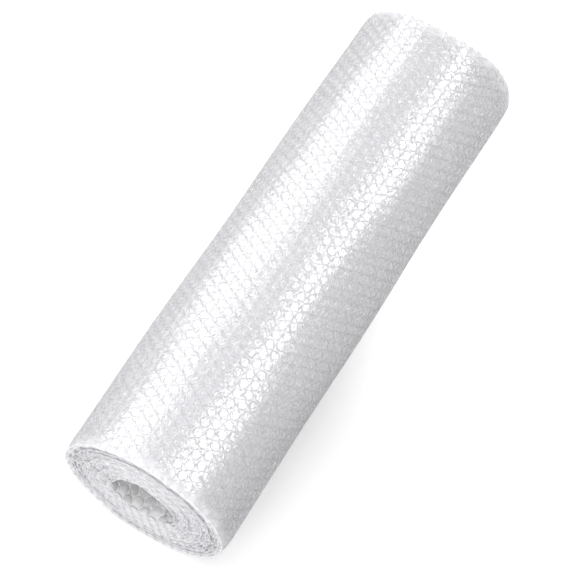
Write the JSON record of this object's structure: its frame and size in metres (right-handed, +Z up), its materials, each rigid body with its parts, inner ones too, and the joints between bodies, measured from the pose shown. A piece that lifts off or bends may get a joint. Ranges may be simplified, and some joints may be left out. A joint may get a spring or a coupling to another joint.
{
  "type": "bubble wrap roll",
  "caption": "Coreless roll of clear bubble film for wrapping and cushioning goods, wound flat side out and lying on its side.",
  "frame": {"origin": "on the floor, under the middle of the roll", "axes": "+X along the roll's axis, +Z up, +Y to the side on which the sheet's outer edge lies near the floor"},
  "size_m": [0.5, 0.1564, 0.1549],
  "materials": {
    "bubble_film": "clear glossy polyethylene film, whitish in many layers"
  },
  "bodies": {
    "root": {"bubble_wrap_roll": "bubble_film"}
  },
  "joints": []
}
